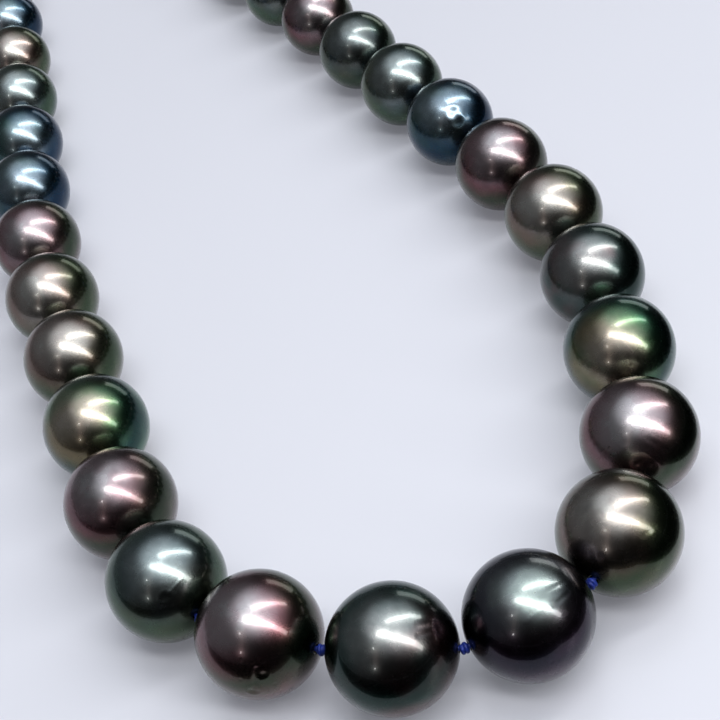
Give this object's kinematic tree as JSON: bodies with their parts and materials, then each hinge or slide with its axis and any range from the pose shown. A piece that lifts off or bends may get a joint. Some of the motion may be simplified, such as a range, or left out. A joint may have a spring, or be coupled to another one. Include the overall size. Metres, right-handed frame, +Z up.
{
  "type": "pearl necklace",
  "caption": "Knotted strand of graduated dark pearls on silk, laid out as an open loop, with a lobster claw and an end tag.",
  "frame": {"origin": "on the ground under the middle of the whole strand's box", "axes": "+Z up from the ground, +Y from the front pearl towards the clasp, +X towards the strand's right half"},
  "size_m": [0.0909, 0.2214, 0.013],
  "materials": {
    "nacre_black": "polished nacre, black overtone",
    "nacre_green": "polished nacre, green overtone",
    "nacre_grey": "polished nacre, grey overtone",
    "nacre_blue": "polished nacre, blue overtone",
    "nacre_peacock": "polished nacre, peacock overtone",
    "nacre_bronze": "polished nacre, bronze overtone",
    "nacre_aubergine": "polished nacre, aubergine overtone",
    "silk": "twisted silk",
    "gimp_wire": "fine coiled wire",
    "white_metal": "polished",
    "steel": "drawn"
  },
  "bodies": {
    "pearl_front": {"pearl_front": "nacre_green", "silk_thread": "silk"},
    "pearl_left_18": {"pearl_left_18": "nacre_green", "gimp_left": "gimp_wire"},
    "pearl_left_17": {"pearl_left_17": "nacre_aubergine"},
    "pearl_left_16": {"pearl_left_16": "nacre_grey"},
    "pearl_left_15": {"pearl_left_15": "nacre_peacock"},
    "pearl_left_14": {"pearl_left_14": "nacre_green"},
    "pearl_left_13": {"pearl_left_13": "nacre_aubergine"},
    "pearl_left_12": {"pearl_left_12": "nacre_blue"},
    "pearl_left_11": {"pearl_left_11": "nacre_bronze"},
    "pearl_left_10": {"pearl_left_10": "nacre_grey"},
    "pearl_left_9": {"pearl_left_9": "nacre_blue"},
    "pearl_left_8": {"pearl_left_8": "nacre_blue"},
    "pearl_left_7": {"pearl_left_7": "nacre_bronze"},
    "pearl_left_6": {"pearl_left_6": "nacre_aubergine"},
    "pearl_left_5": {"pearl_left_5": "nacre_bronze"},
    "pearl_left_4": {"pearl_left_4": "nacre_peacock"},
    "pearl_left_3": {"pearl_left_3": "nacre_aubergine"},
    "pearl_left_2": {"pearl_left_2": "nacre_grey"},
    "pearl_left_1": {"pearl_left_1": "nacre_aubergine"},
    "pearl_right_1": {"pearl_right_1": "nacre_black"},
    "pearl_right_2": {"pearl_right_2": "nacre_bronze"},
    "pearl_right_3": {"pearl_right_3": "nacre_aubergine"},
    "pearl_right_4": {"pearl_right_4": "nacre_peacock"},
    "pearl_right_5": {"pearl_right_5": "nacre_green"},
    "pearl_right_6": {"pearl_right_6": "nacre_aubergine"},
    "pearl_right_7": {"pearl_right_7": "nacre_aubergine"},
    "pearl_right_8": {"pearl_right_8": "nacre_blue"},
    "pearl_right_9": {"pearl_right_9": "nacre_grey"},
    "pearl_right_10": {"pearl_right_10": "nacre_grey"},
    "pearl_right_11": {"pearl_right_11": "nacre_aubergine"},
    "pearl_right_12": {"pearl_right_12": "nacre_grey"},
    "pearl_right_13": {"pearl_right_13": "nacre_green"},
    "pearl_right_14": {"pearl_right_14": "nacre_peacock"},
    "pearl_right_15": {"pearl_right_15": "nacre_aubergine"},
    "pearl_right_16": {"pearl_right_16": "nacre_grey"},
    "pearl_right_17": {"pearl_right_17": "nacre_green"},
    "pearl_right_18": {"pearl_right_18": "nacre_blue", "gimp_right": "gimp_wire"},
    "claw_ring": {"claw_ring": "white_metal"},
    "claw": {"claw_frame": "white_metal", "lever_pin": "steel", "lever_spring": "steel"},
    "lever": {"claw_lever": "white_metal"},
    "tag_ring": {"tag_ring": "white_metal"},
    "end_tag": {"end_tag": "white_metal"}
  },
  "joints": [
    {"name": "lever_open", "type": "hinge", "parent": "claw", "child": "lever", "pos_m": [-0.04357, 0.10307, 0.00159], "axis": [0.0091, -0.0515, -0.9986], "range_deg": [0, 28], "stiffness_Nm_per_rad": 0.0002, "springref_deg": -28.65, "deforming": ["lever_spring"]},
    {"name": "claw_swing", "type": "hinge", "parent": "claw_ring", "child": "claw", "pos_m": [-0.04201, 0.09939, 0.00179], "axis": [-0.0091, 0.0515, 0.9986], "range_deg": [-40, 40]},
    {"name": "claw_ring_lift", "type": "hinge", "parent": "pearl_left_18", "child": "claw_ring", "pos_m": [-0.04163, 0.09725, 0.00219], "axis": [0.9848, 0.1736, 0], "range_deg": [0, 45]},
    {"name": "tag_swing", "type": "hinge", "parent": "tag_ring", "child": "end_tag", "pos_m": [0.00512, 0.091, 0.0016], "axis": [0.0302, 0.171, 0.9848], "range_deg": [-50, 50]},
    {"name": "tag_ring_lift", "type": "hinge", "parent": "pearl_right_18", "child": "tag_ring", "pos_m": [0.00474, 0.08887, 0.00217], "axis": [0.9848, -0.1736, 0], "range_deg": [0, 45]},
    {"name": "knot_right_1_side", "type": "hinge", "parent": "pearl_front", "child": "pearl_right_1", "pos_m": [0.0129, -0.10603, 0.00646], "axis": [0, 0, 1], "range_deg": [-71, 5], "deforming": ["silk_thread"]},
    {"name": "knot_right_2_lift", "type": "hinge", "parent": "pearl_right_1", "child": "pearl_right_2", "pos_m": [0.02627, -0.10244, 0.00637], "axis": [0.5446, -0.8387, 0], "range_deg": [0, 18]},
    {"name": "knot_right_3_side", "type": "hinge", "parent": "pearl_right_2", "child": "pearl_right_3", "pos_m": [0.03486, -0.09184, 0.00627], "axis": [0, 0, -1], "range_deg": [-8, 66]},
    {"name": "knot_right_4_lift", "type": "hinge", "parent": "pearl_right_3", "child": "pearl_right_4", "pos_m": [0.03742, -0.07864, 0.00616], "axis": [-0.9925, 0.1219, 0], "range_deg": [-30, 0]},
    {"name": "knot_right_5_side", "type": "hinge", "parent": "pearl_right_4", "child": "pearl_right_5", "pos_m": [0.03812, -0.06544, 0.00605], "axis": [0, 0, 1], "range_deg": [-39, 10]},
    {"name": "knot_right_6_lift", "type": "hinge", "parent": "pearl_right_5", "child": "pearl_right_6", "pos_m": [0.03857, -0.05246, 0.00594], "axis": [0.9945, 0.1045, 0], "range_deg": [0, 30]},
    {"name": "knot_right_7_side", "type": "hinge", "parent": "pearl_right_6", "child": "pearl_right_7", "pos_m": [0.03548, -0.04008, 0.00582], "axis": [0, 0, -1], "range_deg": [-14, 43]},
    {"name": "knot_right_8_lift", "type": "hinge", "parent": "pearl_right_7", "child": "pearl_right_8", "pos_m": [0.03141, -0.02825, 0.0057], "axis": [-0.9426, -0.3338, 0], "range_deg": [-30, 0]},
    {"name": "knot_right_9_side", "type": "hinge", "parent": "pearl_right_8", "child": "pearl_right_9", "pos_m": [0.02721, -0.01672, 0.00557], "axis": [0, 0, 1], "range_deg": [-39, 18]},
    {"name": "knot_right_10_lift", "type": "hinge", "parent": "pearl_right_9", "child": "pearl_right_10", "pos_m": [0.02291, -0.0055, 0.00544], "axis": [0.9367, 0.3502, 0], "range_deg": [0, 30]},
    {"name": "knot_right_11_side", "type": "hinge", "parent": "pearl_right_10", "child": "pearl_right_11", "pos_m": [0.01888, 0.00555, 0.00532], "axis": [0, 0, -1], "range_deg": [-24, 39]},
    {"name": "knot_right_12_lift", "type": "hinge", "parent": "pearl_right_11", "child": "pearl_right_12", "pos_m": [0.01476, 0.01629, 0.00519], "axis": [-0.9239, -0.3827, 0], "range_deg": [-30, 0]},
    {"name": "knot_right_13_side", "type": "hinge", "parent": "pearl_right_12", "child": "pearl_right_13", "pos_m": [0.01019, 0.02656, 0.00505], "axis": [0, 0, 1], "range_deg": [-36, 33]},
    {"name": "knot_right_14_lift", "type": "hinge", "parent": "pearl_right_13", "child": "pearl_right_14", "pos_m": [0.00608, 0.03673, 0.00492], "axis": [0.9455, 0.3256, 0], "range_deg": [0, 30]},
    {"name": "knot_right_15_side", "type": "hinge", "parent": "pearl_right_14", "child": "pearl_right_15", "pos_m": [0.00313, 0.04702, 0.00478], "axis": [0, 0, -1], "range_deg": [-46, 30]},
    {"name": "knot_right_16_lift", "type": "hinge", "parent": "pearl_right_15", "child": "pearl_right_16", "pos_m": [0.00168, 0.05735, 0.00465], "axis": [-0.9976, -0.0698, 0], "range_deg": [-30, 0]},
    {"name": "knot_right_17_side", "type": "hinge", "parent": "pearl_right_16", "child": "pearl_right_17", "pos_m": [0.00168, 0.06751, 0.00451], "axis": [0, 0, 1], "range_deg": [-32, 44]},
    {"name": "knot_right_18_lift", "type": "hinge", "parent": "pearl_right_17", "child": "pearl_right_18", "pos_m": [0.00271, 0.07734, 0.00437], "axis": [0.9903, -0.1392, 0], "range_deg": [0, 30]},
    {"name": "knot_left_1_side", "type": "hinge", "parent": "pearl_front", "child": "pearl_left_1", "pos_m": [-0.00041, -0.1017, 0.00645], "axis": [0, 0, 1], "range_deg": [-9, 55]},
    {"name": "knot_left_2_lift", "type": "hinge", "parent": "pearl_left_1", "child": "pearl_left_2", "pos_m": [-0.01173, -0.09378, 0.00635], "axis": [0.766, 0.6428, 0], "range_deg": [0, 27]},
    {"name": "knot_left_3_side", "type": "hinge", "parent": "pearl_left_2", "child": "pearl_left_3", "pos_m": [-0.01747, -0.08147, 0.00623], "axis": [0, 0, -1], "range_deg": [-54, 10]},
    {"name": "knot_left_4_lift", "type": "hinge", "parent": "pearl_left_3", "child": "pearl_left_4", "pos_m": [-0.01956, -0.06829, 0.0061], "axis": [-0.989, -0.1478, 0], "range_deg": [-30, 0]},
    {"name": "knot_left_5_side", "type": "hinge", "parent": "pearl_left_4", "child": "pearl_left_5", "pos_m": [-0.02138, -0.05534, 0.00597], "axis": [0, 0, 1], "range_deg": [-12, 36]},
    {"name": "knot_left_6_lift", "type": "hinge", "parent": "pearl_left_5", "child": "pearl_left_6", "pos_m": [-0.0236, -0.04273, 0.00583], "axis": [0.9863, 0.165, 0], "range_deg": [0, 30]},
    {"name": "knot_left_7_side", "type": "hinge", "parent": "pearl_left_6", "child": "pearl_left_7", "pos_m": [-0.02556, -0.03035, 0.00569], "axis": [0, 0, -1], "range_deg": [-42, 15]},
    {"name": "knot_left_8_lift", "type": "hinge", "parent": "pearl_left_7", "child": "pearl_left_8", "pos_m": [-0.02663, -0.01815, 0.00555], "axis": [-0.9981, -0.061, 0], "range_deg": [-30, 0]},
    {"name": "knot_left_9_side", "type": "hinge", "parent": "pearl_left_8", "child": "pearl_left_9", "pos_m": [-0.02705, -0.00621, 0.0054], "axis": [0, 0, 1], "range_deg": [-21, 39]},
    {"name": "knot_left_10_lift", "type": "hinge", "parent": "pearl_left_9", "child": "pearl_left_10", "pos_m": [-0.02725, 0.00545, 0.00525], "axis": [0.9998, 0.0175, 0], "range_deg": [0, 30]},
    {"name": "knot_left_11_side", "type": "hinge", "parent": "pearl_left_10", "child": "pearl_left_11", "pos_m": [-0.02745, 0.0168, 0.0051], "axis": [0, 0, -1], "range_deg": [-36, 27]},
    {"name": "knot_left_12_lift", "type": "hinge", "parent": "pearl_left_11", "child": "pearl_left_12", "pos_m": [-0.02803, 0.02783, 0.00495], "axis": [-0.9981, -0.061, 0], "range_deg": [-30, 0]},
    {"name": "knot_left_13_side", "type": "hinge", "parent": "pearl_left_12", "child": "pearl_left_13", "pos_m": [-0.02877, 0.03854, 0.00479], "axis": [0, 0, 1], "range_deg": [-35, 34]},
    {"name": "knot_left_14_lift", "type": "hinge", "parent": "pearl_left_13", "child": "pearl_left_14", "pos_m": [-0.03022, 0.04887, 0.00463], "axis": [0.9848, 0.1736, 0], "range_deg": [0, 30]},
    {"name": "knot_left_15_side", "type": "hinge", "parent": "pearl_left_14", "child": "pearl_left_15", "pos_m": [-0.03233, 0.05875, 0.00447], "axis": [0, 0, -1], "range_deg": [-35, 41]},
    {"name": "knot_left_16_lift", "type": "hinge", "parent": "pearl_left_15", "child": "pearl_left_16", "pos_m": [-0.03486, 0.0682, 0.00431], "axis": [-0.9636, -0.2672, 0], "range_deg": [-30, 0]},
    {"name": "knot_left_17_side", "type": "hinge", "parent": "pearl_left_16", "child": "pearl_left_17", "pos_m": [-0.03747, 0.07729, 0.00415], "axis": [0, 0, 1], "range_deg": [-36, 40]},
    {"name": "knot_left_18_lift", "type": "hinge", "parent": "pearl_left_17", "child": "pearl_left_18", "pos_m": [-0.03967, 0.08615, 0.00398], "axis": [0.9781, 0.2079, 0], "range_deg": [0, 30]}
  ]
}
